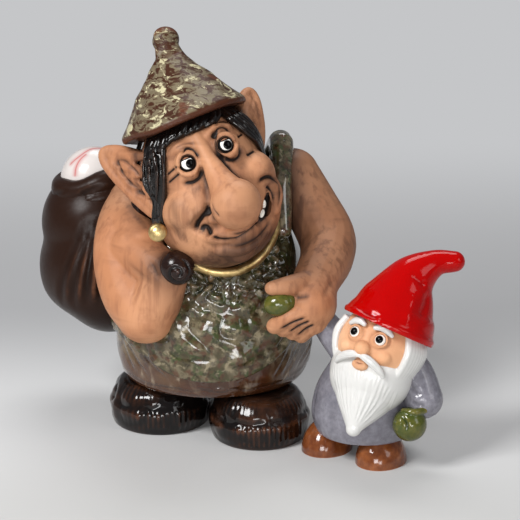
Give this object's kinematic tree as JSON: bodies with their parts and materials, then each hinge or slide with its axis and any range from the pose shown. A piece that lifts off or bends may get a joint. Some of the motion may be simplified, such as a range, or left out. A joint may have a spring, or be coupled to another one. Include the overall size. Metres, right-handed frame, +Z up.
{
  "type": "norwegian troll figure",
  "caption": "Glazed stoneware troll with a sack on its back, leading a small bearded gnome by the hand; a free-standing ornament.",
  "frame": {"origin": "middle of the group's footprint box, on the table under the boot soles", "axes": "+Z up, -Y the way the troll's chest faces, +X from the sack's side to the gnome's side"},
  "size_m": [0.2428, 0.1742, 0.2325],
  "materials": {
    "flesh": "matte bare stoneware with a dark wash in the creases",
    "hat_glaze": "glossy glaze mottled in cream, brown and grey green",
    "black_hair": "glossy black glaze over combed grooves",
    "eye_glaze": "glossy white glaze with a black pupil",
    "tooth_glaze": "glossy white glaze",
    "gold_lustre": "satin gold lustre",
    "tunic_glaze": "very glossy glaze mottled in olive, brown and cream",
    "trouser_glaze": "glossy glaze streaked in brown and cream",
    "boot_glaze": "glossy black brown glaze over combed grooves",
    "sack_glaze": "half gloss dark brown glaze that breaks to rust",
    "bundle_glaze": "glossy white glaze with thin red stripes",
    "gnome_flesh": "matte bare stoneware",
    "gnome_eye_glaze": "glossy white glaze with a black pupil",
    "white_glaze": "glossy white glaze over fine grooves",
    "red_glaze": "very glossy signal red glaze",
    "grey_glaze": "glossy blue grey glaze with dark specks",
    "green_glaze": "glossy olive green glaze",
    "brown_glaze": "glossy chestnut brown glaze"
  },
  "bodies": {
    "root": {"head": "flesh", "nose": "flesh", "right_ear": "flesh", "left_ear": "flesh", "right_arm": "flesh", "left_arm": "flesh", "left_hand": "flesh", "hat": "hat_glaze", "hair": "black_hair", "fringe": "black_hair", "right_lock": "black_hair", "left_lock": "black_hair", "right_eye": "eye_glaze", "left_eye": "eye_glaze", "teeth": "tooth_glaze", "earring": "gold_lustre", "neck_ring": "gold_lustre", "tunic": "tunic_glaze", "shoulder_strap": "tunic_glaze", "trousers": "trouser_glaze", "right_boot": "boot_glaze", "left_boot": "boot_glaze", "sack": "sack_glaze", "sack_roll": "sack_glaze", "sack_sling": "sack_glaze", "bundle": "bundle_glaze", "gnome_head": "gnome_flesh", "gnome_nose": "gnome_flesh", "gnome_right_eye": "gnome_eye_glaze", "gnome_left_eye": "gnome_eye_glaze", "gnome_hair": "white_glaze", "gnome_beard": "white_glaze", "gnome_moustache": "white_glaze", "gnome_eyebrows": "white_glaze", "gnome_hat": "red_glaze", "gnome_coat": "grey_glaze", "gnome_left_arm": "grey_glaze", "gnome_right_arm": "grey_glaze", "gnome_left_mitten": "green_glaze", "gnome_right_mitten": "green_glaze", "gnome_right_boot": "brown_glaze", "gnome_left_boot": "brown_glaze"}
  },
  "joints": []
}
